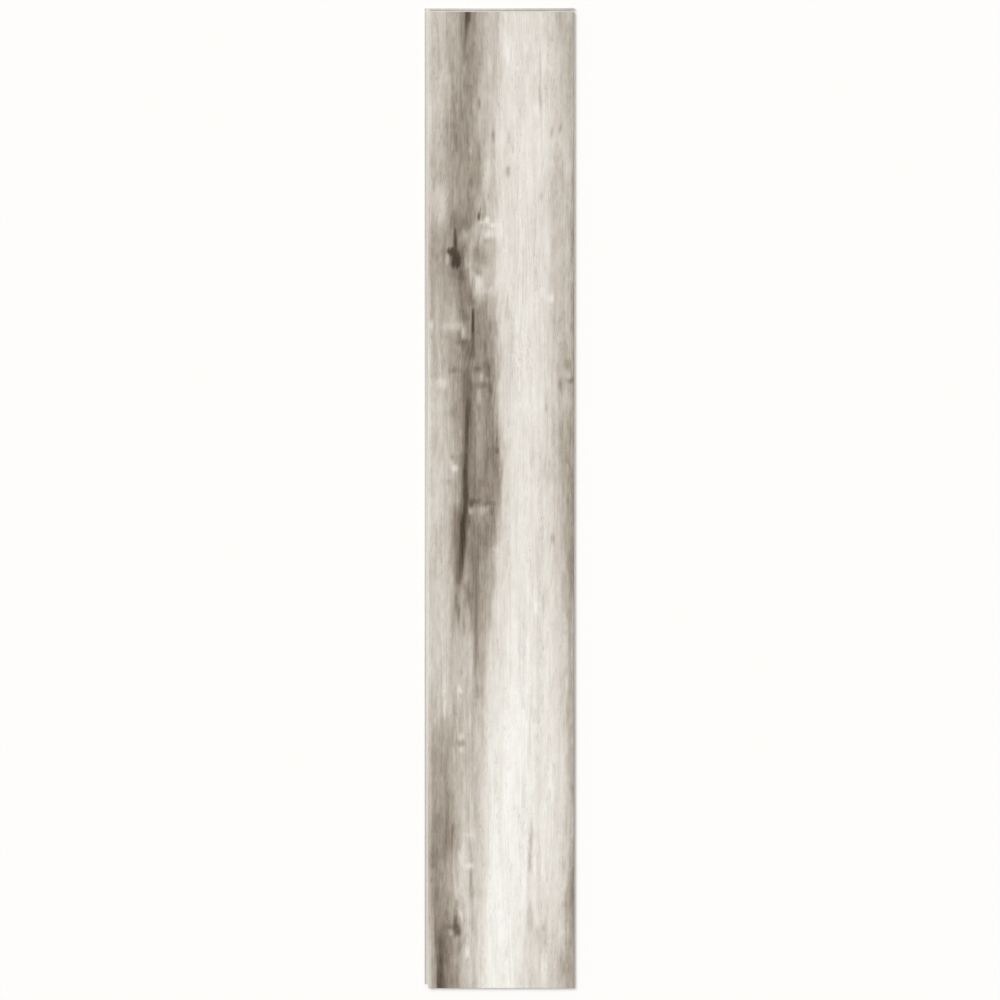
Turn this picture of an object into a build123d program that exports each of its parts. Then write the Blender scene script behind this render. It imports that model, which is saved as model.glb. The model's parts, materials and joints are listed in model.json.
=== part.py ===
from build123d import *
import os

# Rigid core vinyl plank: one board of stone-filled vinyl that clicks to its neighbours on all four edges.
# +Z is up and the printed face is on top. +Y runs along the board, +X across it.
# The origin is in the plane of the underside, below the middle of the printed face.
# Heights are measured up from the underside. All sizes are in millimetres.

# The board
FACE_WIDTH = 182.0
FACE_LENGTH = 1220.0
THICKNESS = 5.0
BEVEL = 0.5

# Fit between one board and the next
PLAY = 0.05
SHELF = 1.15
CORNER_BREAK = 0.3

# Long edges: a tongue angles into a groove, and a bead on the groove's lower lip locks it
TONGUE_REACH = 1.4
TONGUE_TOP = 3.2
TONGUE_NOSE = 2.0
TONGUE_HEEL = 0.5
LIP_REACH = 4.8
BEAD_TOP = 1.85
BEAD_FOOT = 2.9
BEAD_NEAR = 3.35
BEAD_FAR = 4.1
LIP_POCKET = 5.1

# Short ends: a hook that points down drops behind a hook that points up
HOOK_REACH = 4.9
HOOK_TOP = 2.95
HOOK_FOOT = 2.45
HOOK_NEAR = 2.6
HOOK_FAR = 4.3
HOOK_SHOULDER = 2.3
HOOK_POCKET = 5.1
LATCH_LOW = 1.95
LATCH_HIGH = 3.05
LATCH_DEPTH = 0.25
LATCH_SLOPE = 0.25

# Cutter radii
SHARP = 0.0
FINE = 0.1
SMALL = 0.2
ROUND = 0.35
FULL = 0.5

# Each edge is a list of corners from the printed face down to the underside.
# A corner is (reach beyond the printed face's edge, height, radius).


def top_edge():
    """The painted bevel that every edge starts with."""
    return [(-BEVEL, THICKNESS, SHARP), (0, THICKNESS - BEVEL, SHARP)]


def tongue_edge():
    """Long edge with the tongue, and the pocket under it for the next board's bead."""
    ledge = SHELF + PLAY
    pocket_roof = BEAD_TOP + 2 * PLAY
    return top_edge() + [
        (0, TONGUE_TOP, FINE),
        (TONGUE_REACH, TONGUE_TOP, FULL),
        (TONGUE_REACH, TONGUE_NOSE, ROUND),
        (-TONGUE_HEEL, ledge, ROUND),
        (PLAY - BEAD_FOOT, ledge, FINE),
        (PLAY - BEAD_NEAR, pocket_roof, FINE),
        (-BEAD_FAR - CORNER_BREAK, pocket_roof, SMALL),
        (-LIP_POCKET, SHELF - 2 * PLAY, SMALL),
        (-LIP_POCKET, 0, SHARP),
    ]


def groove_edge():
    """Long edge with the groove, and the lower lip whose bead holds the next board's tongue in."""
    depth = TONGUE_REACH + 2 * PLAY
    return top_edge() + [
        (0, TONGUE_TOP + PLAY, FINE),
        (-depth, TONGUE_TOP + PLAY, ROUND),
        (-depth, TONGUE_NOSE - 2 * PLAY, ROUND),
        (TONGUE_HEEL - 2 * PLAY, SHELF, ROUND),
        (BEAD_FOOT, SHELF, FINE),
        (BEAD_NEAR, BEAD_TOP, SMALL),
        (BEAD_FAR, BEAD_TOP, ROUND),
        (LIP_REACH, SHELF, SMALL),
        (LIP_REACH, CORNER_BREAK, SHARP),
        (LIP_REACH - CORNER_BREAK, 0, SHARP),
    ]


def lower_hook_edge():
    """Short end with the hook that points up, and the notch that the latch snaps into."""
    return top_edge() + [
        (0, LATCH_HIGH, SHARP),
        (-LATCH_DEPTH, LATCH_HIGH - LATCH_SLOPE, FINE),
        (-LATCH_DEPTH, LATCH_LOW + LATCH_SLOPE, FINE),
        (0, LATCH_LOW, SHARP),
        (0, SHELF, SMALL),
        (HOOK_FOOT, SHELF, SMALL),
        (HOOK_NEAR, HOOK_TOP, ROUND),
        (HOOK_FAR, HOOK_TOP, ROUND),
        (HOOK_REACH, HOOK_SHOULDER, SMALL),
        (HOOK_REACH, CORNER_BREAK, SHARP),
        (HOOK_REACH - CORNER_BREAK, 0, SHARP),
    ]


def upper_hook_edge():
    """Short end with the hook that points down, and the latch that snaps into the notch."""
    tip = SHELF + PLAY
    pocket_roof = HOOK_TOP + PLAY
    back = HOOK_FOOT - 1.5 * PLAY
    return top_edge() + [
        (0, LATCH_HIGH - PLAY, SHARP),
        (LATCH_DEPTH - PLAY, LATCH_HIGH - PLAY - LATCH_SLOPE, FINE),
        (LATCH_DEPTH - PLAY, LATCH_LOW + PLAY + LATCH_SLOPE, FINE),
        (-PLAY, LATCH_LOW + PLAY, SHARP),
        (-PLAY, tip + CORNER_BREAK, SHARP),
        (-PLAY - CORNER_BREAK, tip, SHARP),
        (CORNER_BREAK - back, tip, SHARP),
        (-back, tip + CORNER_BREAK, SHARP),
        (1.5 * PLAY - HOOK_NEAR, pocket_roof, SMALL),
        (-HOOK_FAR - CORNER_BREAK, pocket_roof, ROUND),
        (-HOOK_POCKET, HOOK_SHOULDER + SMALL, SMALL),
        (-HOOK_POCKET, 0, SHARP),
    ]


def section(low_edge, high_edge, face_size):
    """The board's outline across one pair of edges, as a face with the underside on height 0."""
    half = face_size / 2
    down = [(-half - reach, height, radius) for reach, height, radius in low_edge]
    up = [(half + reach, height, radius) for reach, height, radius in reversed(high_edge)]
    corners = down + up
    points = [(across, height) for across, height, radius in corners]
    radii = [radius for across, height, radius in corners]
    return make_face(FilletPolyline(*points, radius=radii, close=True))


def plank():
    """The board as it leaves the milling line: each pair of edges is cut right across the blank."""
    long_cut = Plane.XZ * section(groove_edge(), tongue_edge(), FACE_WIDTH)
    short_cut = Plane.YZ * section(upper_hook_edge(), lower_hook_edge(), FACE_LENGTH)
    milled = extrude(long_cut, FACE_LENGTH, both=True) & extrude(short_cut, FACE_WIDTH, both=True)
    # A crumb of the bead is cut free beside the upper hook, and falls away.
    return milled.solids().sort_by(SortBy.VOLUME)[-1]


os.makedirs("parts", exist_ok=True)
board = plank()
board.label = "plank"
export_step(board, "parts/plank.step")
print("plank", round(board.volume), "mm3", board.bounding_box().size)
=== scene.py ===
# %% [markdown]
# # A rigid core vinyl plank
# A rigid core plank is a hard board of vinyl filled with ground limestone. A film printed with a wood design
# is laid on it, then a clear wear layer, and a heated steel plate presses the grain into the face. The edges
# are milled last, so there the pale core shows.
# The exact board comes from its construction model. The cells below draw the print and the pressed grain
# with numpy, put both on the board, and give each surface its finish.

# %% Load the board
import json
import math

import bmesh
import bpy
import numpy as np
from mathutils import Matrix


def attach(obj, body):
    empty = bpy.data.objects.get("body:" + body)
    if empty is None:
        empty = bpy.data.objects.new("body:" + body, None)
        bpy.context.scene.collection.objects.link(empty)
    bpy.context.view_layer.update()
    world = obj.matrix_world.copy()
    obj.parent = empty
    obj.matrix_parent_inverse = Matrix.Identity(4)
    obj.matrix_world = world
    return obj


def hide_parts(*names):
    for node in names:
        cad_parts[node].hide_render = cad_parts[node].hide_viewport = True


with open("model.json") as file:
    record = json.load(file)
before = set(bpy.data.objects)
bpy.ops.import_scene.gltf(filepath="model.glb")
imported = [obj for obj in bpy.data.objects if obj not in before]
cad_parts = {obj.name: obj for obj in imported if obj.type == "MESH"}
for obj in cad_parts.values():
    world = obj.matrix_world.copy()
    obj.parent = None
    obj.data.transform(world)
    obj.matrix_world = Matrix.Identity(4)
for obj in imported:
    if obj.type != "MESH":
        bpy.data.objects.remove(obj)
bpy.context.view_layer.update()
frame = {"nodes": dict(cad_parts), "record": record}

MM = 0.001

# %% [markdown]
# ## Sizes
# The board's mounts give the middle of each joint, so the printed face and its bevel are measured here and
# not typed in again. All sizes in the cells on the print are millimetres from the middle of the face, with x
# across the board and y along it.

# %% Measure the printed face
places = {mount["name"]: mount["pos_m"] for mount in frame["record"]["mounts"]}
HALF_WIDTH = places["long_tongue"][0] / MM
HALF_LENGTH = places["end_upward_hook"][1] / MM
FACE_HEIGHT = places["printed_face"][2] / MM

board = frame["nodes"]["plank"]
corners = np.empty(len(board.data.vertices) * 3)
board.data.vertices.foreach_get("co", corners)
corners = corners.reshape(-1, 3) / MM
BEVEL = HALF_WIDTH - corners[corners[:, 2] > FACE_HEIGHT - 0.01, 0].max()
print("printed face", 2 * HALF_WIDTH, "x", 2 * HALF_LENGTH, "bevel", round(BEVEL, 3))

# %% [markdown]
# ## Random numbers with a grain
# Wood is streaky: what varies fast across a board varies slowly along it. One noise function does for every
# streak, because dividing x by a width and y by a length draws its bumps out along the grain. Blender has
# such a noise in its materials, but here the same numbers also press the relief, so numpy works them out.

# %% Noise and soft edges
LATTICE = 256


def smoothstep(t):
    """0 below 0, 1 above 1, and 3t^2 - 2t^3 between."""
    t = np.clip(t, 0, 1)
    return t * t * (3 - 2 * t)


def lattice_noise(across, along, seed, crisp):
    """Smooth random field from -1 to 1, its bumps one unit wide: each crossing of a lattice holds a random
    number, and between crossings the four nearest are blended with the weight 3t^2 - 2t^3. Where crisp is
    over 1 the blend across is that much shorter, so each bump is a flat streak with a firm edge."""
    numbers = np.random.default_rng(seed).uniform(-1, 1, (LATTICE, LATTICE))
    column = np.floor(across).astype(int)
    row = np.floor(along).astype(int)
    right = smoothstep((across - column - 0.5) * crisp + 0.5)
    upper = smoothstep(along - row)
    column, row = column % LATTICE, row % LATTICE
    next_column, next_row = (column + 1) % LATTICE, (row + 1) % LATTICE
    near = numbers[row, column] * (1 - right) + numbers[row, next_column] * right
    far = numbers[next_row, column] * (1 - right) + numbers[next_row, next_column] * right
    return near * (1 - upper) + far * upper


def with_noise(start, across, along, layers):
    """Start plus the sum of amount * noise over the layers. A layer is (amount, width, length, seed, crisp),
    where width and length are the size of its bumps in mm."""
    for amount, width, length, seed, crisp in layers:
        start = start + amount * lattice_noise(across / width, along / length, seed, crisp)
    return start


def soft_step(distance, softness):
    """1 well inside an edge, 0 well outside and one half on it: 1 / (1 + e^(distance / softness))."""
    return 1 / (1 + np.exp(np.clip(distance / softness, -30, 30)))


line = np.linspace(0, LATTICE, 5000)
sample = lattice_noise(line, line, 1, 1)
print("noise on a line from", sample.min().round(2), "to", sample.max().round(2))

# %% [markdown]
# ## The way the grain runs
# Fibres run along the board and swing round each knot. Each fibre could be a curve of its own, but there are
# thousands. It is enough to push one coordinate aside near a knot, because that bends every pattern that
# reads the coordinate.

# %% Grain flow round the knots
# Middle across and along, reach across and along, and how far the fibres are pushed aside
FLOW = {
    "dark knot": (-57, 303, 15, 42, 6.5),
    "pale burl": (-18, 306, 17, 50, 8.0),
    "left whorl": (-56, 212, 16, 26, 5.0),
    "small eye": (-24, 153, 11, 26, 5.0),
    "crack step": (-26, -14, 12, 22, 3.5),
    "edge eye": (82, 156, 8, 24, 3.5),
    "end whorl": (-42, -450, 12, 30, 4.5),
    "end knot": (-57, -531, 12, 30, 5.5),
}


def grain_flow(x, y):
    """Coordinate that stays level along a fibre: x, less a push away from each knot. With across and along
    counted from the knot in its reaches, the push is push * across * e^(1/2 - across^2/2 - along^2/2)."""
    level = x.copy()
    for middle_x, middle_y, reach_x, reach_y, push in FLOW.values():
        across = (x - middle_x) / reach_x
        along = (y - middle_y) / reach_y
        level = level - push * across * np.exp(0.5 - across * across / 2 - along * along / 2)
    return level


print("fibres swing round", len(FLOW), "places, by up to", max(place[-1] for place in FLOW.values()), "mm")

# %% [markdown]
# ## Painting the design
# A printer's designer paints such a board in layers, and so does this: first the long soft bands of sapwood
# and heartwood, over them a straight rim along each long edge, with a painted highlight on the left one and
# painted shade on the right one, then the streaks, then small spots, and last the cracks and the knot. A tone
# says how light the print is, from 0 for black to 1 for white, as a share of full sRGB brightness.
# A picture of wood could be laid on the face instead. Strokes are chosen here because each can be moved or
# changed by itself, and because they press the relief as well. Each layer is a list of strokes placed one
# by one, and noise breaks up their edges. Where strokes lie over each other, the later one covers the
# earlier one.

# %% Two brushes
def stroke(tone, x, y, stations, soft, fade):
    """Paints a stroke along the board over the tone. A station is (along, across, half width, tone), and
    between stations the stroke runs straight. Its edges are soft steps, on the left and on the right, and
    each end is a smoothstep as long as fade."""
    along, across, half, target = np.array(stations[::-1], dtype=float).T
    offset = x - np.interp(y, along, across)
    softness = np.where(offset < 0, soft[0], soft[1])
    cover = soft_step(np.abs(offset) - np.interp(y, along, half), softness)
    cover *= smoothstep(0.5 + (y - along[0]) / fade) * smoothstep(0.5 + (along[-1] - y) / fade)
    return tone + (np.interp(y, along, target) - tone) * cover


def spot(tone, x, y, middle, radii, target, soft):
    """Paints a spot over the tone, between an oval and a box: its rim is a soft step of (a^3 + b^3)^(1/3),
    where a and b are the distances across and along from its middle, in radii."""
    across = np.abs(x - middle[0]) / radii[0]
    along = np.abs(y - middle[1]) / radii[1]
    distance = (across ** 3 + along ** 3) ** (1 / 3)
    return tone + (target - tone) * soft_step(distance - 1, soft)


trial = spot(np.ones(3), np.array([0.0, 2.0, 4.0]), np.zeros(3), (0, 0), (2, 2), 0.5, 0.2)
print("a spot of tone 0.5 on white, at its middle, on its rim and outside it", trial.round(2))

# %% Long bands, and rims with painted highlight and shade: softness of the left and right edge, and stations
# A station is (along, across, half width, tone)
GROUND = 0.855
BANDS = {
    "bright core": ((6, 7), [
        (620, 28, 18, 0.865), (480, 32, 16, 0.885), (350, 34, 14, 0.89), (0, 30, 14, 0.89),
        (-100, 28, 17, 0.9), (-200, 22, 24, 0.92), (-300, 18, 28, 0.935), (-450, 10, 27, 0.945),
        (-530, 0, 27, 0.948), (-620, -3, 26, 0.942)]),
    "right side": ((6, 5), [
        (620, 84, 24, 0.72), (540, 84, 21, 0.76), (460, 86, 20, 0.775), (380, 86, 22, 0.73),
        (300, 86, 22, 0.74), (200, 87, 22, 0.72), (110, 88, 21, 0.73), (60, 87, 24, 0.685),
        (0, 88, 19, 0.69), (-100, 92, 14, 0.7), (-180, 93, 11, 0.75), (-380, 93, 9, 0.77),
        (-430, 92, 12, 0.8), (-470, 86, 24, 0.855), (-520, 73, 36, 0.83), (-620, 72, 40, 0.805)]),
    "pale right": ((5, 5), [
        (-120, 53, 8, 0.87), (-250, 54, 10, 0.89), (-350, 55, 11, 0.895), (-450, 56, 11, 0.9),
        (-500, 54, 8, 0.88)]),
    "right verge": ((1.2, 2), [
        (620, 90, 6.4, 0.685), (480, 90, 6.4, 0.71), (390, 90, 6.4, 0.735), (340, 90, 6.4, 0.7),
        (190, 90, 6.4, 0.67), (110, 90, 7, 0.665), (70, 90, 9, 0.62), (-10, 90, 9, 0.61),
        (-50, 90, 8.5, 0.64), (-90, 90, 6.4, 0.62), (-130, 90, 6.5, 0.66), (-210, 90, 6.4, 0.705),
        (-270, 90, 6.4, 0.68), (-330, 90, 6.4, 0.71), (-370, 90, 6.4, 0.77), (-420, 90, 6.4, 0.75),
        (-450, 90, 6.4, 0.67), (-490, 90, 6.4, 0.6), (-540, 90, 6.6, 0.635), (-620, 90, 9, 0.615)]),
    "left side": ((3, 5), [
        (620, -78, 24, 0.775), (500, -80, 22, 0.78), (400, -80, 22, 0.72), (370, -80, 18, 0.75),
        (325, -80, 22, 0.64), (290, -80, 20, 0.645), (240, -78, 20, 0.68), (205, -78, 22, 0.7),
        (160, -78, 24, 0.755), (120, -78, 24, 0.805), (60, -78, 26, 0.785), (0, -78, 20, 0.81),
        (-120, -78, 22, 0.82), (-180, -77, 26, 0.8), (-230, -76, 30, 0.765), (-300, -70, 40, 0.725),
        (-400, -66, 38, 0.745), (-500, -64, 36, 0.75), (-560, -64, 34, 0.71), (-620, -64, 34, 0.71)]),
    "left flank": ((4, 3), [
        (620, -60, 7, 0.655), (550, -61, 7, 0.67), (500, -60, 7, 0.65), (460, -61, 6, 0.62),
        (400, -64, 6, 0.645), (360, -66, 6, 0.65), (330, -68, 6, 0.61), (280, -64, 8, 0.6),
        (262, -60, 9, 0.62), (240, -57, 8, 0.64), (222, -54, 7, 0.665), (210, -59, 8, 0.63),
        (190, -60, 9, 0.6), (150, -59, 9, 0.61), (110, -58, 9, 0.615), (70, -61, 9, 0.7),
        (30, -60, 9, 0.73), (-10, -61, 6, 0.65), (-50, -60, 5, 0.62), (-90, -58, 5, 0.6),
        (-130, -57, 6, 0.645), (-170, -57, 8, 0.74), (-230, -58, 9, 0.76)]),
    "shoulder": ((4, 2.5), [
        (620, -18, 16, 0.735), (480, -18, 14, 0.755), (400, -16, 11, 0.76), (350, -20, 12, 0.755),
        (310, -22, 13, 0.7), (262, -21, 12, 0.76), (250, -19, 12, 0.69), (215, -18, 14, 0.63),
        (150, -19, 15, 0.6), (60, -20, 17, 0.55), (20, -19, 18, 0.55), (-40, -21, 17, 0.565),
        (-56, -22, 15, 0.58), (-62, -26, 16, 0.61), (-100, -25, 16, 0.62), (-150, -28, 14, 0.66),
        (-210, -30, 13, 0.7), (-260, -32, 14, 0.73), (-300, -34, 15, 0.755), (-400, -42, 14, 0.775),
        (-500, -44, 12, 0.79), (-560, -42, 10, 0.83), (-620, -42, 8, 0.79)]),
    "hollow beside the heart": ((3, 4), [
        (245, -29, 5, 0.55), (190, -27, 7, 0.54), (150, -28, 7, 0.555), (110, -33, 5, 0.53),
        (70, -33, 6, 0.57), (30, -30, 7, 0.53), (0, -30, 8, 0.51), (-16, -31, 8, 0.6),
        (-50, -35, 7, 0.51), (-90, -35, 6, 0.53), (-130, -34, 6, 0.545), (-165, -33, 5, 0.6)]),
    "heart": ((3, 3), [
        (620, -40, 13, 0.62), (540, -41, 14, 0.6), (480, -46, 17, 0.595), (430, -47, 20, 0.61),
        (390, -44, 17, 0.59), (362, -46, 16, 0.55), (345, -50, 16, 0.5), (322, -54, 12, 0.5),
        (300, -58, 9, 0.49), (282, -52, 11, 0.47), (262, -47, 12, 0.5), (235, -44, 11, 0.53),
        (215, -38, 6, 0.54), (190, -42, 8, 0.49), (150, -42, 8, 0.5), (100, -43, 7, 0.48),
        (50, -43, 5.5, 0.47), (0, -45, 6, 0.47), (-25, -50, 8, 0.5), (-60, -50, 8, 0.5),
        (-100, -52, 8, 0.54), (-130, -52, 7, 0.63), (-170, -50, 8, 0.74)]),
    "tan beside the heart": ((2, 4), [
        (245, 2, 5, 0.83), (200, 4, 8, 0.815), (150, 3, 7, 0.825), (90, 2, 6, 0.84)]),
    "near end, left": ((2.5, 5), [
        (-290, -78, 10, 0.68), (-330, -76, 14, 0.655), (-380, -76, 13, 0.62), (-405, -76, 13, 0.57),
        (-430, -73, 16, 0.565), (-455, -76, 14, 0.56), (-480, -76, 13, 0.545), (-505, -74, 13, 0.54),
        (-530, -70, 15, 0.525), (-560, -69, 13.5, 0.51), (-620, -69, 14, 0.52)]),
    "long crack's flank": ((2, 2), [
        (114, -41, 4.6, 0.44), (60, -42, 3.4, 0.45), (30, -43.5, 4.2, 0.45), (-2, -45.5, 5.5, 0.45),
        (-25, -50.5, 7, 0.47), (-60, -50.5, 6.5, 0.45), (-102, -53.5, 5, 0.48)]),
    "near corner": ((0.8, 2.5), [
        (-530, -72.5, 3.4, 0.46), (-552, -74.5, 4.6, 0.37), (-580, -74.5, 4.9, 0.325),
        (-625, -74.4, 4.9, 0.29)]),
}
# Straight rims on both long edges: print tone, a painted highlight on the left, painted shade on the right
EDGE_RIMS_WITH_PAINTED_LIGHT = {
    "left rim, print and painted highlight": ((2, 0.5), [
        (620, -92, 4.6, 0.82), (470, -92, 4.8, 0.84), (400, -92, 4.6, 0.795), (350, -92, 4.8, 0.785),
        (305, -92, 4.8, 0.74), (230, -92, 4.4, 0.765), (110, -92, 4.6, 0.85), (20, -92, 4.8, 0.845),
        (-90, -92, 4.8, 0.86), (-170, -92, 4.7, 0.845), (-210, -92, 4.5, 0.815), (-290, -92, 4.4, 0.735),
        (-370, -92, 4.8, 0.74), (-410, -92, 4.6, 0.7), (-450, -92, 4.5, 0.64), (-530, -92, 4.5, 0.715),
        (-620, -92, 4.7, 0.79)]),
    "right rim, print and painted shade": ((0.6, 2), [
        (620, 92.5, 5, 0.64), (560, 92.5, 5, 0.70), (440, 92.5, 5, 0.715), (320, 92.5, 5, 0.62),
        (280, 92.5, 5, 0.655), (230, 92.5, 5, 0.605), (100, 92.5, 5, 0.665), (10, 92.5, 5, 0.58),
        (-20, 92.5, 5, 0.61), (-85, 92.5, 5, 0.55), (-180, 92.5, 5, 0.72), (-270, 92.5, 5, 0.64),
        (-310, 92.5, 5, 0.675), (-360, 92.5, 5, 0.62), (-400, 92.5, 5, 0.715), (-485, 92.5, 5, 0.53),
        (-580, 92.5, 5, 0.625), (-620, 92.5, 5, 0.635)]),
}
print("bands", len(BANDS), "rims", len(EDGE_RIMS_WITH_PAINTED_LIGHT))

# %% Streaks, each straight along the board, by stretch: from, to, across, half width, tone
STREAKS = {
    "far end": [
        (640, 562, 5.5, 1.6, 0.905), (612, 590, -34, 3.2, 0.52), (600, 545, -38, 5, 0.57),
        (580, 545, 55, 3, 0.895), (570, 548, 10, 7, 0.91), (566, 546, 12.6, 1.4, 0.84),
        (566, 530, 43, 1.3, 0.9), (560, 522, 48.6, 1.4, 0.79), (522, 486, 48.6, 1.4, 0.73),
        (574, 540, -76, 3.4, 0.7), (533, 518, -46, 1.7, 0.53), (502, 486, -27.5, 1.6, 0.57),
        (502, 480, 45, 1.6, 0.93), (502, 482, -33, 2.6, 0.71), (452, 434, -44.5, 2.6, 0.56),
        (612, 572, -48.5, 2.4, 0.54), (524, 504, -37, 2.2, 0.635), (557, 548, -43, 2.4, 0.5)],
    "above the knot": [
        (442, 392, -28, 3, 0.575), (430, 402, -17, 3.4, 0.8), (392, 348, -74, 6, 0.8),
        (388, 368, -42, 1.9, 0.52), (363, 351, -27.5, 1.7, 0.44), (494, 474, -40.5, 2, 0.665),
        (414, 394, -33, 2.2, 0.55), (374, 344, -22, 3.4, 0.655), (462, 445, -9.2, 1.8, 0.65),
        (434, 412, -37, 2.2, 0.665), (374, 354, 12, 3, 0.815), (366, 340, -67, 2.4, 0.7),
        (468, 459, 74, 1.8, 0.69), (465, 452, 63.7, 1.8, 0.73), (461, 446, 9.6, 2, 0.79),
        (456, 438, -56, 2, 0.53)],
    "dark knot and pale burl": [
        (362, 334, -57, 3.5, 0.46), (352, 306, 12, 3.5, 0.825), (336, 316, 89.5, 2.4, 0.58),
        (312, 262, 42, 2, 0.9)],
    "left whorl": [
        (274, 240, -48, 6, 0.55), (264, 244, -39, 3, 0.46), (262, 244, 43, 3, 0.9),
        (258, 224, -46, 6, 0.52), (252, 228, 7.5, 3, 0.775), (198, 181, -20, 1.9, 0.48),
        (196, 178, -38, 5.5, 0.43), (272, 256, -48.5, 2.4, 0.585)],
    "small eye": [
        (177, 155, -18, 3.2, 0.46), (165, 100, -42, 5.2, 0.44), (156, 136, 74, 2.6, 0.64),
        (150, 130, -13.5, 3.2, 0.5), (136, 121, -28, 2.4, 0.7), (104, 60, 75, 4, 0.7),
        (98, 50, 88, 4, 0.6), (180, 150, -3.5, 2.6, 0.69), (174, 156, 72, 3, 0.695),
        (114, 96, -29.5, 2, 0.635), (114, 94, -52, 2.2, 0.645)],
    "long crack": [
        (44, 4, -6, 4, 0.555), (30, 0, 90, 2.4, 0.57), (28, -4, -13, 7, 0.545), (-30, -74, -37, 4, 0.52),
        (-24, -48, -2.5, 3, 0.79), (-56, -82, -44.5, 2.2, 0.43), (86, 58, -81.5, 3, 0.715),
        (74, 44, 4, 3, 0.775), (48, 26, 0.6, 2.2, 0.66), (-34, -70, -79, 4, 0.745)],
    "below the crack": [
        (-60, -132, 90, 2.6, 0.53), (-62, -96, -44, 3, 0.585), (-100, -140, -61, 2.6, 0.68),
        (-102, -132, -40, 5, 0.54), (-118, -146, 53, 1.6, 0.79), (-120, -150, 87, 4, 0.63),
        (-128, -150, -53, 1.7, 0.5), (-146, -172, -46, 1.6, 0.61), (-172, -222, -23, 3, 0.68),
        (-176, -232, -38, 2, 0.79), (-66, -98, -59.5, 2.4, 0.65), (-70, -140, -85, 4.4, 0.765),
        (-94, -142, 80, 4.4, 0.69), (-114, -138, -55.5, 2.2, 0.53), (-86, -106, -63, 2.2, 0.735),
        (-104, -128, 57, 3, 0.805), (-217, -242, -70.5, 1.7, 0.835)],
    "near the end whorl": [
        (-230, -292, -57, 2.4, 0.68), (-262, -290, -39, 1.5, 0.82), (-262, -300, -70, 4.6, 0.66),
        (-286, -330, -63, 3.4, 0.65), (-330, -362, -3, 3, 0.955), (-336, -372, -49, 1.8, 0.68),
        (-340, -372, -36, 3, 0.735), (-404, -436, 37.5, 1.6, 0.78), (-426, -458, -47, 3, 0.845),
        (-430, -458, -36.5, 3, 0.755), (-434, -466, 35.8, 2.2, 0.775), (-444, -466, 42, 1.8, 0.935),
        (-450, -474, 52, 1.2, 0.93), (-274, -298, -14.5, 3, 0.835), (-250, -269, -70.5, 1.7, 0.835),
        (-406, -434, -62, 4, 0.58)],
    "near end": [
        (-464, -496, -37.8, 1.9, 0.62), (-462, -498, -48, 5, 0.81), (-464, -502, 34, 1.6, 0.85),
        (-478, -540, -75, 3, 0.535), (-480, -502, -37, 2.4, 0.71), (-500, -546, -37, 3, 0.745),
        (-508, -528, -57, 1.6, 0.46), (-508, -544, 36.2, 2.8, 0.725), (-512, -542, 36, 3, 0.765),
        (-530, -570, 55, 4, 0.78), (-552, -606, 36, 4.5, 0.805), (-560, -600, 48, 2, 0.785),
        (-565, -604, 54, 3, 0.895), (-486, -522, 83, 2.8, 0.69), (-562, -614, 75.5, 3.6, 0.7),
        (-466, -486, -74.5, 2.2, 0.535), (-546, -566, -52, 2.2, 0.575), (-552, -580, 30.5, 3, 0.815),
        (-555, -590, -29.5, 3, 0.865), (-584, -610, 64, 3, 0.825)],
}
print("streaks", sum(len(items) for items in STREAKS.values()))

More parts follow.
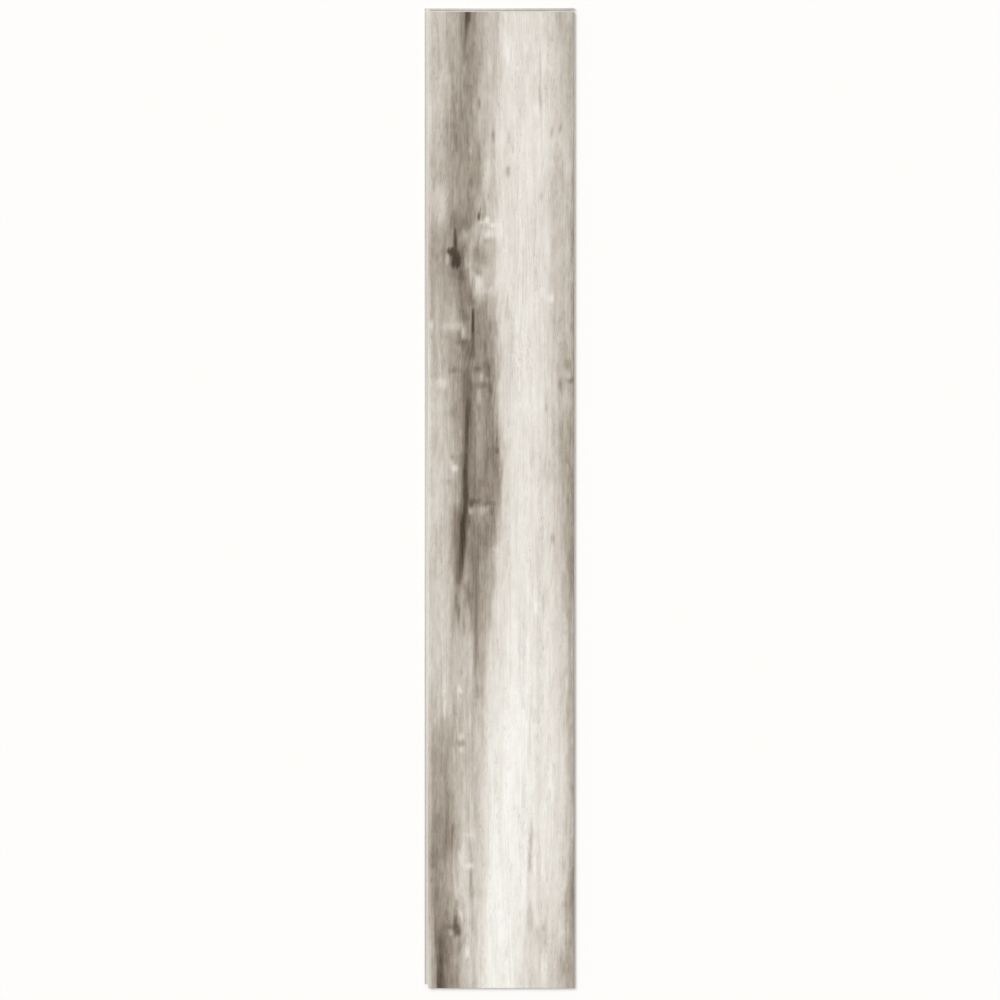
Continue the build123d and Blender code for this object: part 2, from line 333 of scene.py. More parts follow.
# %% Spots, by stretch: across, along, radius across, radius along, tone
SPOTS = {
    "far end": [
        (45, 487, 3, 8, 0.93), (45.6, 504, 2.2, 8, 0.9), (-37, 474, 2.2, 6, 0.665)],
    "above the knot": [
        (-38, 436, 2, 3.6, 0.72), (-38, 396, 3.6, 5, 0.54), (50, 380, 2.6, 5, 0.79),
        (-16, 379, 2, 5, 0.7), (-75, 370, 5.5, 20, 0.785), (-34, 357, 2.4, 7, 0.63),
        (8.7, 410, 2.2, 6, 0.71)],
    "dark knot and pale burl": [
        (-17, 349, 2.6, 4, 0.88), (-24, 347, 5, 2.4, 0.8), (-9, 343, 5, 3.2, 0.89),
        (-2, 339, 3, 13, 0.91), (-14, 332, 7, 4.5, 0.86), (-43, 329, 9, 7, 0.66), (-18, 317, 5, 3, 0.78),
        (-46, 311, 6, 9, 0.575), (-70, 311, 6, 4, 0.55), (-28, 306, 8, 12, 0.595),
        (-31, 290, 6, 5, 0.67), (-28, 284, 4, 3, 0.62), (-53, 283, 8.5, 6.5, 0.44),
        (-27, 270, 4.5, 8, 0.87), (-22, 262, 10, 4, 0.81), (-41, 303, 2.4, 7, 0.62),
        (-82, 294, 3.4, 6, 0.69)],
    "left whorl": [
        (51.5, 259, 3.4, 6, 0.905), (61.5, 252, 3.4, 5, 0.9), (45, 250, 3.2, 3.2, 0.9),
        (-36, 247, 4, 4, 0.48), (-88, 219, 3, 5, 0.84),
        (-62, 217, 13, 4.4, 0.745), (-49, 209, 4.5, 6, 0.765), (-52, 205, 2.2, 6, 0.52),
        (-47, 197, 8, 3.5, 0.45), (-45, 192, 5, 5, 0.47), (-7, 214, 2.4, 8, 0.65)],
    "small eye": [
        (86, 170, 7, 5, 0.61), (-64, 166, 2, 8, 0.6), (-30, 163, 4.5, 3.2, 0.45), (-56, 162, 7, 3, 0.51),
        (-16, 161, 3, 7, 0.45), (82, 156, 4.2, 3.4, 0.75), (-24, 153, 2.4, 5, 0.7),
        (88, 149, 5, 3, 0.54), (-76, 146, 8, 6, 0.83), (-24, 143, 9, 3.6, 0.49),
        (-28, 130, 2.4, 8, 0.68), (-59, 112, 4.5, 6, 0.6), (-28, 92, 2, 5, 0.68),
        (-55.5, 154, 3, 6, 0.565), (56.4, 115, 2, 5, 0.72), (83, 114, 2.4, 6, 0.66)],
    "long crack": [
        (-74, 60, 4, 10, 0.72), (-57.5, 40, 3.8, 4.4, 0.86), (62, 36, 5.5, 14, 0.765),
        (-24, 22, 4, 4, 0.48), (-33, -1, 7, 3, 0.42), (-15, -4, 8, 2.6, 0.475), (-37, -6, 3, 4, 0.33),
        (-22, -12, 9, 3.6, 0.665), (-12, -14, 3.2, 6, 0.5), (-24, -15, 3.4, 3.4, 0.68),
        (-38.5, -15, 1.8, 3.4, 0.72), (-40.5, -26, 2.4, 8, 0.42), (-5, 62, 2.2, 3.6, 0.47),
        (-60, 53, 2.4, 3.4, 0.61), (-65, 22, 2.6, 3.4, 0.67), (64.8, -48, 2.2, 5, 0.72),
        (-18, -45, 3, 6, 0.585)],
    "below the crack": [
        (46, -134, 5, 8, 0.92), (28, -140, 4, 9, 0.925), (-50.5, -237, 3.4, 4.4, 0.87),
        (-26, -238, 4, 6, 0.67), (83, -215, 3, 6, 0.71)],
    "near the end whorl": [
        (-41, -457, 6.5, 3.4, 0.88), (43, -268, 4, 8, 0.86), (-50, -295.5, 3.4, 3, 0.82),
        (-64, -298, 2.2, 5, 0.63), (-50, -304, 5.4, 2.8, 0.62), (-50, -312, 3.4, 2.8, 0.81),
        (-40, -418.5, 7.5, 2.2, 0.82), (-51.5, -443, 3.4, 5, 0.82), (-48, -449, 4.4, 5.5, 0.85),
        (86.8, -265, 2.4, 8, 0.65),
        (79.3, -285, 2.6, 9, 0.76), (-39.5, -302, 2.6, 7, 0.79), (79.3, -455, 2.6, 8, 0.755)],
    "near end": [
        (-64, -503, 4, 6, 0.585), (-56, -505, 3, 5, 0.62), (-49.8, -520, 1.8, 6, 0.89),
        (45, -522, 2, 9, 0.88), (-56.5, -525, 2.2, 7, 0.43), (-56, -533, 4.4, 3.8, 0.38),
        (-64.5, -533.5, 4.4, 2, 0.45), (-41, -540, 3, 7, 0.83), (-54.2, -540, 3.8, 5, 0.39),
        (-62.5, -541, 2.2, 3.2, 0.66), (50, -546, 7, 12, 0.78), (-42, -565, 2.3, 5.5, 0.9),
        (-56, -515, 2.6, 5, 0.55), (75.6, -515, 3, 8, 0.77), (-51.8, -525, 2, 6, 0.63),
        (79.3, -585, 3, 8, 0.645)],
}
print("spots", sum(len(items) for items in SPOTS.values()))

# %% Cracks, as bands, and the dark knot, as spots
CRACKS = {
    "far end": ((0.7, 1), [
        (640, -41, 3.8, 0.27), (600, -41.5, 3.6, 0.32), (586, -43.5, 2.6, 0.41), (566, -46, 2.2, 0.48),
        (545, -46.5, 2, 0.57)]),
    "knot spike": ((0.5, 0.5), [
        (340, -57, 1.4, 0.31), (324, -57, 2, 0.27), (302, -57, 3.2, 0.26)]),
    "upper crack": ((0.5, 0.5), [
        (240, -35, 1.4, 0.36), (232, -35, 1.8, 0.26), (212, -35, 1.8, 0.27), (206, -35, 1.8, 0.37),
        (180, -35.5, 1.8, 0.42)]),
    "long crack": ((0.6, 0.6), [
        (128, -40, 3, 0.41), (104, -42, 2.4, 0.31), (80, -42.5, 2.2, 0.31), (64, -43, 2.4, 0.37),
        (50, -43.5, 2.4, 0.32), (30, -44.5, 3.2, 0.31), (0, -44, 3, 0.3), (-18, -45, 3, 0.29),
        (-30, -47.5, 3.9, 0.285), (-56, -48, 3.7, 0.285), (-70, -48.8, 3.4, 0.32),
        (-88, -50.6, 2.6, 0.38), (-104, -53, 2, 0.45)]),
    "heart streak": ((0.8, 1), [
        (-56, -31, 3, 0.5), (-90, -31, 2.4, 0.48), (-120, -31, 2.1, 0.46), (-150, -31, 2.1, 0.48),
        (-176, -31, 1.9, 0.52), (-204, -31, 1.8, 0.56), (-222, -31, 1.8, 0.65), (-248, -29, 2.6, 0.66)]),
    "near left streak": ((1.2, 1.2), [
        (-296, -65, 2, 0.62), (-330, -69, 3.2, 0.59), (-352, -70, 2.4, 0.59), (-366, -67, 2.8, 0.55),
        (-400, -67, 2.4, 0.52), (-425, -68, 2.8, 0.5), (-450, -72, 3, 0.55)]),
}
KNOT = [
    (-55, 300, 9, 14, 0.46), (-67.5, 300, 2, 7, 0.7), (-60.5, 310, 6.6, 4.6, 0.29),
    (-56, 300, 5.4, 10, 0.27)]
print("cracks", len(CRACKS), "spots in the dark knot", len(KNOT))

# %% Noise in the print, by use: amount, width and length of its bumps in mm, seed, crispness across
NOISE = {
    "lean": [(1.5, 40, 160, 10, 1)],
    "sway": [(1, 22, 140, 11, 1)],
    "frayed bands": [(2.4, 3.4, 45, 12, 1.8)],
    "marks across": [(0.8, 2.6, 9, 31, 1)],
    "marks along": [(1, 3.2, 30, 32, 1), (0.8, 2, 4, 34, 1)],
    "streak ends": [(5, 1.6, 60, 36, 1.6)],
    "long fibres": [
        (0.3, 2.9, 50, 21, 2), (0.42, 4.7, 170, 22, 2), (0.15, 1.8, 26, 23, 1.3), (0.42, 7, 60, 24, 2.2)],
    "broad fibres": [(0.3, 14, 30, 27, 1)],
    "flecks": [(0.5, 2.4, 6, 25, 1.5), (0.6, 4.6, 12, 26, 1.5)],
    "cracks across": [(0.35, 2.4, 16, 35, 1)],
    "knot across": [(0.8, 1.7, 3.1, 37, 1)],
    "knot along": [(1.6, 1.5, 4.2, 38, 1)],
}
# How far fibres and flecks may move the tone, at five tones of the paint below them
UNDER = [0.30, 0.45, 0.62, 0.78, 0.95]
FIBRE_SHARE = [0.01, 0.052, 0.060, 0.046, 0.029]
FLECK_SHARE = [0.01, 0.045, 0.045, 0.026, 0.012]
TOP_FLECKS = 0.008
print("noises", sum(len(layers) for layers in NOISE.values()))

# %% Paint the layers in turn
BAND_FADE = 20
CRACK_FADE = 6
MARK_SOFTNESS = 0.22
KNOT_SOFTNESS = 0.09


def paint(x, y):
    """Tone of the print and height of its fibres, about -1 to 1, at each point. The bands are read at x plus
    a wander, so their edges fray, and the rims at x itself, so they stay straight. Streaks, spots, cracks and
    the knot are read at slightly shaken places. Fibres and flecks go over the spots and under the cracks,
    and a faint share of the flecks goes over everything."""
    level = grain_flow(x, y)
    lean = with_noise(level, x, y, NOISE["lean"])
    wander = with_noise(with_noise(0, x, y, NOISE["sway"]), lean, y, NOISE["frayed bands"])
    tone = np.full(x.shape, GROUND)
    for soft, stations in BANDS.values():
        tone = stroke(tone, x + wander, y, stations, soft, BAND_FADE)
    # The rims add painted highlight on the left edge and painted shade on the right, read at x so they stay
    # straight
    for soft, stations in EDGE_RIMS_WITH_PAINTED_LIGHT.values():
        tone = stroke(tone, x, y, stations, soft, BAND_FADE)
    near_x = with_noise(x, level, y, NOISE["marks across"])
    near_y = with_noise(y, x, y, NOISE["marks along"])
    ragged_y = with_noise(y, x, y, NOISE["streak ends"])
    for start, end, across, half, target in sum(STREAKS.values(), []):
        middle = (across, (start + end) / 2)
        tone = spot(tone, near_x, ragged_y, middle, (half, (start - end) / 2), target, MARK_SOFTNESS)
    for across, along, wide, long, target in sum(SPOTS.values(), []):
        tone = spot(tone, near_x, near_y, (across, along), (wide, long), target, MARK_SOFTNESS)
    fibre = with_noise(with_noise(0, lean, y, NOISE["long fibres"]), level, y, NOISE["broad fibres"])
    fleck = with_noise(0, level, y, NOISE["flecks"])
    tone += fibre * np.interp(tone, UNDER, FIBRE_SHARE)
    tone += fleck * np.interp(tone, UNDER, FLECK_SHARE)
    crack_x = with_noise(x, level, y, NOISE["cracks across"])
    for soft, stations in CRACKS.values():
        tone = stroke(tone, crack_x, near_y, stations, soft, CRACK_FADE)
    knot_x = with_noise(x, x, y, NOISE["knot across"])
    knot_y = with_noise(y, x, y, NOISE["knot along"])
    for across, along, wide, long, target in KNOT:
        tone = spot(tone, knot_x, knot_y, (across, along), (wide, long), target, KNOT_SOFTNESS)
    return tone + TOP_FLECKS * fleck, fibre


middle_tone, middle_fibre = paint(np.zeros(1), np.zeros(1))
print("middle of the face: tone", middle_tone[0].round(3), "and fibre height", middle_fibre[0].round(2))

# %% [markdown]
# ## The pressed grain
# The press plate is cut to match the print, which the trade calls embossed in register: cracks and knots are
# deepest, dark grain is a little sunk, and single fibres stand a few hundredths of a millimetre proud.
# Bump in the material would do from straight above, but low light and a view along the face show that it is
# flat. So the face is a grid whose height is the board's thickness less that depth. Its outermost cells are
# the bevel, so the print runs over the bevel as it does on a board with pressed edges.

# %% The face as a grid
COLUMNS = 216
ROWS = 450
# How deep the plate presses, in mm, at five tones of the print
PRESSED_TONES = [0.28, 0.40, 0.55, 0.80, 0.95]
PRESSED_DEPTHS = [0.26, 0.17, 0.09, 0.045, 0.02]
FIBRE_HEIGHT = 0.035
EDGE_MARGIN = 3.0


def face_grid():
    """Points and quads of the printed face. Height = face height - depth, where depth follows the tone, less
    fibre height * fibre. The depth fades out at the bevel, and the outermost ring is the bevel's foot."""
    across = np.linspace(-HALF_WIDTH, HALF_WIDTH, COLUMNS + 1)
    along = np.linspace(-HALF_LENGTH, HALF_LENGTH, ROWS + 1)
    x, y = np.meshgrid(across, along)
    x[1:-1, 1] = BEVEL - HALF_WIDTH
    x[1:-1, -2] = HALF_WIDTH - BEVEL
    y[1, 1:-1] = BEVEL - HALF_LENGTH
    y[-2, 1:-1] = HALF_LENGTH - BEVEL
    tone, fibre = paint(x, y)
    depth = np.maximum(np.interp(tone, PRESSED_TONES, PRESSED_DEPTHS) - FIBRE_HEIGHT * fibre, 0)
    inside = np.minimum(HALF_WIDTH - np.abs(x), HALF_LENGTH - np.abs(y)) - BEVEL
    z = FACE_HEIGHT - depth * smoothstep(inside / EDGE_MARGIN)
    z[[0, -1]] = FACE_HEIGHT - BEVEL
    z[:, [0, -1]] = FACE_HEIGHT - BEVEL
    number = np.arange(x.size).reshape(x.shape)
    quads = np.stack([number[:-1, :-1], number[:-1, 1:], number[1:, 1:], number[1:, :-1]], axis=-1)
    return np.stack([x, y, z], axis=-1).reshape(-1, 3) * MM, quads.reshape(-1, 4)


points, quads = face_grid()
grid = bpy.data.meshes.new("face grid")
grid.from_pydata(points, [], quads)
inner = points.reshape(ROWS + 1, COLUMNS + 1, 3)[1:-1, 1:-1, 2]
print("face grid", len(points), "points, deepest grain", round(FACE_HEIGHT - inner.min() / MM, 3), "mm")

# %% [markdown]
# ## One closed board
# The printed face could lie on the board as a sheet of its own, but its rim would show as a seam. The milled
# edges are exact in the construction model, so they are copied and not drawn again. The copy loses its plain
# face and bevel, the four edges left open are cut into as many parts as the grid has cells, and the grid is
# welded on. The result is one watertight board, as the real one is.

# %% Weld the face to the milled edges
WELD = 2e-6
SHARP_ANGLE = math.radians(30)

shape = bmesh.new()
shape.from_mesh(board.data)
bmesh.ops.remove_doubles(shape, verts=shape.verts, dist=WELD)
bevel_foot = (FACE_HEIGHT - BEVEL) * MM - WELD
plain_face = [face for face in shape.faces if min(vertex.co.z for vertex in face.verts) > bevel_foot]
bmesh.ops.delete(shape, geom=plain_face, context="FACES")
for edge in [edge for edge in shape.edges if edge.is_boundary]:
    step = edge.verts[1].co - edge.verts[0].co
    cells = ROWS if abs(step.y) > abs(step.x) else COLUMNS
    bmesh.ops.subdivide_edges(shape, edges=[edge], cuts=cells - 1)
for face in shape.faces:
    face.material_index = 1
shape.from_mesh(grid)
bmesh.ops.remove_doubles(shape, verts=shape.verts, dist=WELD)
open_edges = sum(not edge.is_manifold for edge in shape.edges)

skin = bpy.data.meshes.new("plank_board")
shape.to_mesh(skin)
shape.free()
bpy.data.meshes.remove(grid)
skin.shade_smooth()
skin.set_sharp_from_angle(angle=SHARP_ANGLE)
skin.calc_loop_triangles()
print("open edges", open_edges, "triangles", len(skin.loop_triangles))

plank_board = bpy.data.objects.new("plank_board", skin)
bpy.context.scene.collection.objects.link(plank_board)
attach(plank_board, "root")
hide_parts("plank")

# %% [markdown]
# ## Handing the print to the material
# An image could carry the tone to the material, but the points lie closer together than the thinnest stroke
# is wide, so a number on each point does as well. The grain flow goes there as a UV map, in metres. So the
# material's own fine fibres run the same way as the painted ones, and bend round the same knots.

# %% Tone attribute and grain map
positions = np.empty(len(skin.vertices) * 3)
skin.vertices.foreach_get("co", positions)
x, y, z = positions.reshape(-1, 3).T / MM
tone = paint(x, y)[0]
skin.attributes.new("tone", "FLOAT", "POINT").data.foreach_set("value", tone.astype(np.float32))
loop_vertex = np.empty(len(skin.loops), dtype=np.int32)
skin.loops.foreach_get("vertex_index", loop_vertex)
flow = np.stack([grain_flow(x, y), y], axis=-1)[loop_vertex] * MM
skin.uv_layers.new(name="grain").uv.foreach_set("vector", flow.astype(np.float32).ravel())
print("tone from", tone.min().round(2), "to", tone.max().round(2), "mean", tone.mean().round(3))

# %% [markdown]
# ## Colours and nodes
# Colours are written as sRGB hex values, the numbers a colour picker shows. Blender's shaders count in
# linear light, so one function turns one into the other. One small function adds any node.

# %% Helpers for materials
def linear(code):
    """sRGB hex to linear light: c / 12.92 up to 0.04045, and ((c + 0.055) / 1.055) ^ 2.4 above."""
    parts = [int(code[place:place + 2], 16) / 255 for place in (0, 2, 4)]
    return tuple(c / 12.92 if c <= 0.04045 else ((c + 0.055) / 1.055) ** 2.4 for c in parts) + (1.0,)


def add(tree, kind, inputs=None, stops=None, **settings):
    """Adds a node. Settings are its own properties, inputs are values or other nodes' outputs by socket,
    and stops are a colour ramp's places and hex colours."""
    node = tree.nodes.new("ShaderNode" + kind)
    for name, value in settings.items():
        setattr(node, name, value)
    for socket, value in (inputs or {}).items():
        if isinstance(value, bpy.types.NodeSocket):
            tree.links.new(value, node.inputs[socket])
        else:
            node.inputs[socket].default_value = value
    for number, (place, code) in enumerate(stops or []):
        elements = node.color_ramp.elements
        element = elements[number] if number < 2 else elements.new(place)
        element.position = place
        element.color = linear(code)
    return node


def empty_tree(owner):
    """The node tree of a material or world, with nothing in it."""
    owner.use_nodes = True
    owner.node_tree.nodes.clear()
    return owner.node_tree


print("middle grey 808080 is", round(linear("808080")[0], 3), "in linear light")

# %% [markdown]
# ## Printed film under a matt wear layer
# The print is warm grey-brown ink on a white vinyl film. Over it lies half a millimetre of clear vinyl with a
# matt polyurethane lacquer: refractive index 1.5, and rough enough to give a broad dull sheen. Pressed pores
# catch no light and look dark. Film and lacquer could be two shaders, but one Principled surface has both: a
# base colour, for the ink, and a clear reflection over it, for the lacquer.
# The painted tone gets what is too fine for the mesh: fibres, wood cells, growth rings and pores. A colour
# ramp turns the sum into ink colours. The same four go to the bump, so colour and relief stay in register.
# The lacquer throws back 4 parts in 100 of the white room, which shows most on dark ink. So the inks are
# written a little darker than they are to look.

# %% Inks of the print, from the darkest tone to white
INK = [
    (0.0, "0d0905"), (0.25, "261b0f"), (0.303, "41321d"), (0.393, "605445"), (0.452, "726658"),
    (0.523, "877b6d"), (0.593, "9a8f81"), (0.655, "aaa193"), (0.71, "bab0a4"), (0.768, "c9c0b5"),
    (0.822, "d6cfc5"), (0.865, "e1dbd2"), (0.903, "e9e5dc"), (0.949, "f4f2eb"), (1.0, "fdfcf8"),
]

printed = bpy.data.materials.new("printed_vinyl_wear_layer")
tree = empty_tree(printed)
painted = add(tree, "Attribute", attribute_name="tone").outputs["Fac"]
grain = add(tree, "UVMap", uv_map="grain").outputs["UV"]
print("inks", len(INK), "from", INK[0][1], "to", INK[-1][1])

# %% Fibres, wood cells and pores
OCTAVE_SHARE = 0.62
FIBRE_WIDTH = 1.5
FIBRE_LENGTH = 26
# Real wood cells are 0.1 mm wide and pores 0.2 mm. Both are drawn wider, to show on the whole board.
CELL_WIDTH = 0.9
CELL_LENGTH = 3.2
PORE_WIDTH = 0.55
PORE_LENGTH = 10
# Pores come in patches: only the crests of one noise are pores, and only where a second, broader one is high.
PORE_CREST = {"From Min": 0.65, "From Max": 0.71}
PATCH_WIDTH = 9
PATCH_LENGTH = 120
PATCH_HIGH = {"From Min": 0.45, "From Max": 0.65}


def grain_noise(width, length, detail):
    """Blender's noise drawn out along the grain, its bumps width across and length along, in mm. Each finer
    octave is as strong as the one before it times the octave share."""
    scale = (1 / (width * MM), 1 / (length * MM), 1)
    place = add(tree, "Mapping", {"Vector": grain, "Scale": scale})
    inputs = {"Vector": place.outputs[0], "Scale": 1.0, "Detail": detail, "Roughness": OCTAVE_SHARE}
    return add(tree, "TexNoise", inputs, noise_dimensions="2D").outputs["Fac"]


fibres = grain_noise(FIBRE_WIDTH, FIBRE_LENGTH, 4.0)
cells = grain_noise(CELL_WIDTH, CELL_LENGTH, 1.0)
crests = grain_noise(PORE_WIDTH, PORE_LENGTH, 1.0)
patches = grain_noise(PATCH_WIDTH, PATCH_LENGTH, 1.0)
ticks = add(tree, "MapRange", {"Value": crests, **PORE_CREST}).outputs[0]
where = add(tree, "MapRange", {"Value": patches, **PATCH_HIGH}).outputs[0]
pores = add(tree, "Math", {0: ticks, 1: where}, operation="MULTIPLY").outputs[0]
print("nodes with fibres, cells and pores", len(tree.nodes))

# %% Growth rings
# Growth rings lie 1 to 3 mm apart and run out at a slant on a sawn face, so they are drawn wider apart.
RING_SPACING = 5.5
RING_LENGTH = 300
# Each ring darkens slowly and ends at a firm line, which is a saw-tooth wave raised to a power. A wave
# texture repeats every pi / 10 of its own coordinate, and its distortion makes the rings waver.
RING_FADE = 3.0
RING_WAVER = {"Distortion": 30.0, "Detail": 2.0, "Detail Scale": 0.9}
# Rings are strong in some stretches and almost gone in others.
STRETCH_WIDTH = 11
STRETCH_LENGTH = 200
STRETCH_RANGE = {"From Min": 0.38, "From Max": 0.68, "To Min": 0.08}

ring_scale = (math.pi / 10 / (RING_SPACING * MM), 1 / (RING_LENGTH * MM), 1)
ring_place = add(tree, "Mapping", {"Vector": grain, "Scale": ring_scale}).outputs[0]
saw = add(tree, "TexWave", {"Vector": ring_place, "Scale": 1.0, **RING_WAVER}, wave_profile="SAW")
ring_lines = add(tree, "Math", {0: saw.outputs["Fac"], 1: RING_FADE}, operation="POWER").outputs[0]
stretches = grain_noise(STRETCH_WIDTH, STRETCH_LENGTH, 1.0)
ring_strength = add(tree, "MapRange", {"Value": stretches, **STRETCH_RANGE}).outputs[0]
rings = add(tree, "Math", {0: ring_lines, 1: ring_strength}, operation="MULTIPLY").outputs[0]
print("nodes with the rings", len(tree.nodes))

# %% Add the patterns to the painted tone
# Fibres are stronger on dark print than on pale
FIBRE_STRENGTH = {"From Min": 0.35, "From Max": 0.95, "To Min": 0.145, "To Max": 0.038}
CELL_TONE = {"To Min": -0.025, "To Max": 0.040}
RING_TONE = -0.065
PORE_TONE = -0.08

centred = add(tree, "Math", {0: fibres, 1: 0.5}, operation="SUBTRACT").outputs[0]
fibre_strength = add(tree, "MapRange", {"Value": painted, **FIBRE_STRENGTH}).outputs[0]
cell_tone = add(tree, "MapRange", {"Value": cells, **CELL_TONE}).outputs[0]
full_tone = painted
for pattern, amount in [(centred, fibre_strength), (cell_tone, 1.0), (rings, RING_TONE), (pores, PORE_TONE)]:
    inputs = {0: pattern, 1: amount, 2: full_tone}
    full_tone = add(tree, "Math", inputs, operation="MULTIPLY_ADD").outputs[0]
ink = add(tree, "ValToRGB", {"Fac": full_tone}, stops=INK)
print("nodes with the ink colours", len(tree.nodes))

# %% Relief, sheen and the finished surface
VINYL_INDEX = 1.5
PRESS_DEPTH = 0.12
# Fibres give the relief its full height. Rings and pores sink into them, and cells stand on them.
RING_RELIEF = -0.5
CELL_RELIEF = 0.4
PORE_RELIEF = -1.0
# The lacquer is a little duller over dark print.
SHEEN = {"From Min": 0.35, "From Max": 0.9, "To Min": 0.68, "To Max": 0.58}

height = fibres
for pattern, amount in [(rings, RING_RELIEF), (cells, CELL_RELIEF), (pores, PORE_RELIEF)]:
    height = add(tree, "Math", {0: pattern, 1: amount, 2: height}, operation="MULTIPLY_ADD").outputs[0]
bump = add(tree, "Bump", {"Height": height, "Distance": PRESS_DEPTH * MM, "Strength": 1.0})
rough = add(tree, "MapRange", {"Value": full_tone, **SHEEN}).outputs[0]
surface = add(tree, "BsdfPrincipled", {
    "Base Color": ink.outputs["Color"], "Roughness": rough, "IOR": VINYL_INDEX,
    "Normal": bump.outputs["Normal"]})
add(tree, "OutputMaterial", {"Surface": surface.outputs[0]})
print("nodes in", printed.name, len(tree.nodes))

# %% [markdown]
# ## Stone-filled core
# Where the board is milled, and on its underside, the core shows: limestone powder bound with vinyl, pale
# warm grey, dull, and finely speckled. The cutters ran along each edge and left lines that follow it, so the
# lines vary with height only. The underside left the rollers smooth, with faint marks along the board.
# All of it is noise in the board's own coordinates, which runs on round every milled corner. A pattern laid
# on the surface would need a seam there.

# %% Core material
SPECK = 0.9
CUTTER_MARK = 0.22
ROLLER_MARK = 7
MARK_LENGTH = 400
CLOUD_WIDTH = 24
CLOUD_LENGTH = 60
SPECK_SHARE = 0.9
ROLLER_SHARE = 0.5
CLOUD_SHARE = 0.25
SHADE_RANGE = {"From Min": 0.93, "From Max": 1.73}
STONE = [(0.0, "c8c3bb"), (0.5, "dbd7d0"), (1.0, "e9e6e1")]
MILLED_DEPTH = 0.03
MILLED_ROUGHNESS = 0.68

core = bpy.data.materials.new("stone_filled_vinyl_core")
tree = empty_tree(core)
place = add(tree, "TexCoord").outputs["Object"]


def body_noise(wide, long, high, detail):
    """Blender's noise with bumps of that size across, along and up the board, in mm."""
    scale = (1 / (wide * MM), 1 / (long * MM), 1 / (high * MM))
    spread = add(tree, "Mapping", {"Vector": place, "Scale": scale})
    inputs = {"Vector": spread.outputs[0], "Scale": 1.0, "Detail": detail}
    return add(tree, "TexNoise", inputs).outputs["Fac"]


specks = body_noise(SPECK, SPECK, SPECK, 3.0)
clouds = body_noise(CLOUD_WIDTH, CLOUD_LENGTH, CLOUD_WIDTH, 2.0)
rollers = body_noise(ROLLER_MARK, MARK_LENGTH, ROLLER_MARK, 2.0)
shade = body_noise(MARK_LENGTH, MARK_LENGTH, CUTTER_MARK, 1.0)
for pattern, amount in [(rollers, ROLLER_SHARE), (clouds, CLOUD_SHARE), (specks, SPECK_SHARE)]:
    shade = add(tree, "Math", {0: pattern, 1: amount, 2: shade}, operation="MULTIPLY_ADD").outputs[0]
spread = add(tree, "MapRange", {"Value": shade, **SHADE_RANGE}).outputs[0]
stone = add(tree, "ValToRGB", {"Fac": spread}, stops=STONE)
bump = add(tree, "Bump", {"Height": shade, "Distance": MILLED_DEPTH * MM, "Strength": 0.8})
surface = add(tree, "BsdfPrincipled", {
    "Base Color": stone.outputs["Color"], "Roughness": MILLED_ROUGHNESS, "IOR": VINYL_INDEX,
    "Normal": bump.outputs["Normal"]})
add(tree, "OutputMaterial", {"Surface": surface.outputs[0]})

skin.materials.append(printed)
skin.materials.append(core)
print("materials on the board", [material.name for material in skin.materials])

# %% [markdown]
# ## Floor, light and camera
# The board is shown as a swatch: flat on white, seen from straight above, with even light. Light from
# everywhere alone would look flat, and a lamp alone too hard. So a little over half of the light comes from
# everywhere, and the rest from one very large soft lamp on the upper left, low enough to bring out the grain.
# Together they light a level surface so that a colour renders about as it is written.

# %% Floor
WHITE = (1, 1, 1, 1)
FLOOR_COLOUR = "f6f5f3"
FLOOR_SIZE = 40
FLOOR_DROP = 0.1
FLOOR_LIFT = 0.07


def seen_directly(tree):
    """1 for camera, glossy and transmission rays, and 0 for the rays that light things."""
    rays = add(tree, "LightPath").outputs
    seen = rays["Is Camera Ray"]
    for kind in ("Is Glossy Ray", "Is Transmission Ray"):
        seen = add(tree, "Math", {0: seen, 1: rays[kind]}, operation="MAXIMUM").outputs[0]
    return seen


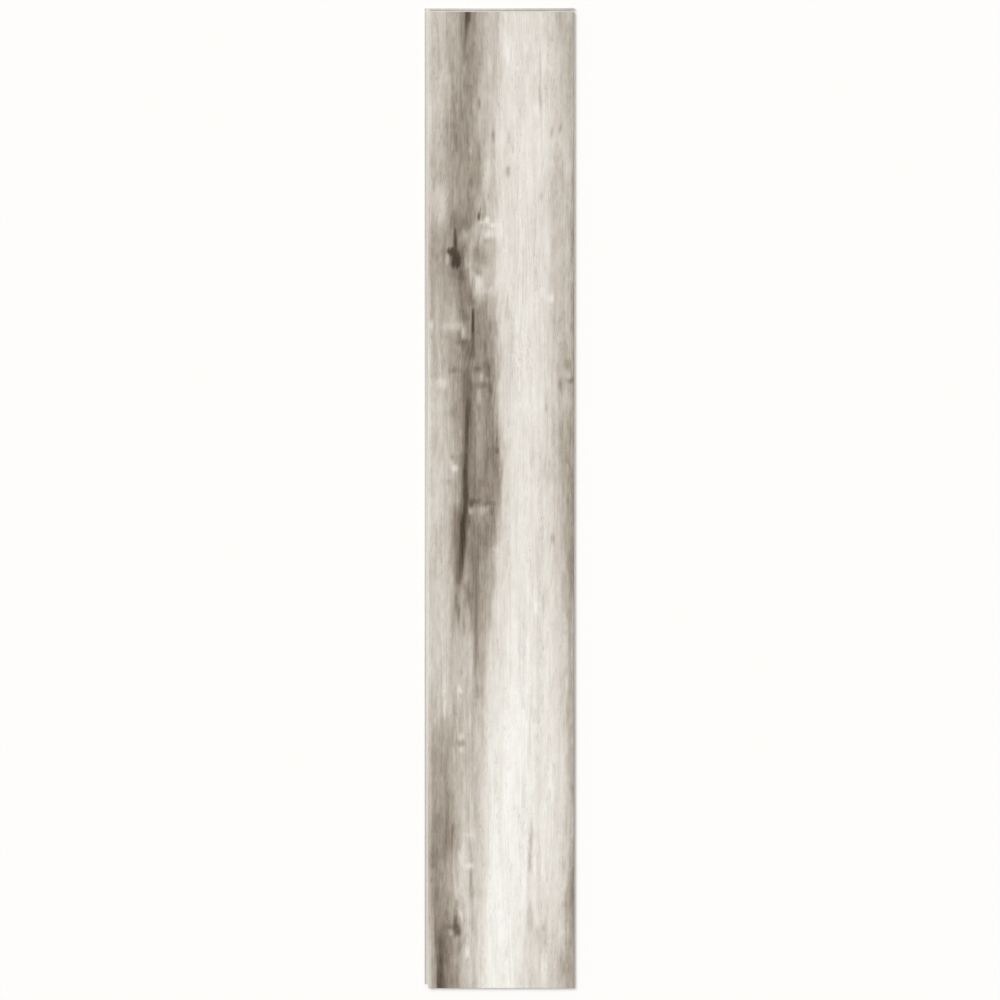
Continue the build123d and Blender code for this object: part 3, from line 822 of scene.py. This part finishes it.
floor_mesh = bpy.data.meshes.new("floor")
half = FLOOR_SIZE / 2
level = -FLOOR_DROP * MM
floor_corners = [(-half, -half, level), (half, -half, level), (half, half, level), (-half, half, level)]
floor_mesh.from_pydata(floor_corners, [], [(0, 1, 2, 3)])
floor = bpy.data.objects.new("floor", floor_mesh)
bpy.context.scene.collection.objects.link(floor)
pale = bpy.data.materials.new("pale_floor")
tree = empty_tree(pale)
matt = add(tree, "BsdfDiffuse", {"Color": linear(FLOOR_COLOUR)}).outputs[0]
glow = add(tree, "Emission", {"Color": WHITE, "Strength": FLOOR_LIFT}).outputs[0]
lifted = add(tree, "AddShader", {0: matt, 1: glow}).outputs[0]
shown = add(tree, "MixShader", {0: seen_directly(tree), 1: matt, 2: lifted}).outputs[0]
add(tree, "OutputMaterial", {"Surface": shown})
floor_mesh.materials.append(pale)
print("floor", FLOOR_SIZE, "m wide,", FLOOR_DROP, "mm below the board")

# %% World and lamp
FILL = 0.58
KEY = 0.42
KEY_ELEVATION = math.radians(48)
KEY_AZIMUTH = math.radians(50)
KEY_SPREAD = math.radians(35)

scene = bpy.context.scene
scene.world = bpy.data.worlds.new("soft studio")
tree = empty_tree(scene.world)
strength = add(tree, "MapRange", {"Value": seen_directly(tree), "To Min": FILL, "To Max": 1.0}).outputs[0]
sky = add(tree, "Background", {"Color": WHITE, "Strength": strength})
add(tree, "OutputWorld", {"Surface": sky.outputs[0]})

lamp = bpy.data.lights.new("key", "SUN")
lamp.energy = KEY * math.pi / math.sin(KEY_ELEVATION)
lamp.angle = KEY_SPREAD
key = bpy.data.objects.new("key", lamp)
key.rotation_euler = (math.pi / 2 - KEY_ELEVATION, 0, KEY_AZIMUTH + math.pi)
scene.collection.objects.link(key)
print("lamp strength", round(lamp.energy, 3))

# %% [markdown]
# ## The photograph's view
# The camera looks straight down with a long lens, so the face has no visible perspective. Two measurements
# give its place: how many pixels of the photograph's 1000 the board's length takes, and where the middle of
# the face lies.

# %% Camera
PICTURE = 1000
FACE_PIXELS = 976.5
FACE_MIDDLE = (501.0, 500.0)
SENSOR = 36.0
LENS = 120.0

pixel = 2 * HALF_LENGTH * MM / FACE_PIXELS
distance = pixel * PICTURE * LENS / SENSOR
view = bpy.data.cameras.new("camera")
view.lens = LENS
view.sensor_width = SENSOR
view.clip_end = 100
camera = bpy.data.objects.new("camera", view)
aside = (PICTURE / 2 - FACE_MIDDLE[0]) * pixel
ahead = (FACE_MIDDLE[1] - PICTURE / 2) * pixel
camera.location = (aside, ahead, FACE_HEIGHT * MM + distance)
scene.collection.objects.link(camera)
scene.camera = camera
scene.view_settings.view_transform = "Standard"
print("camera height", round(distance, 3), "m, one pixel is", round(pixel / MM, 3), "mm")
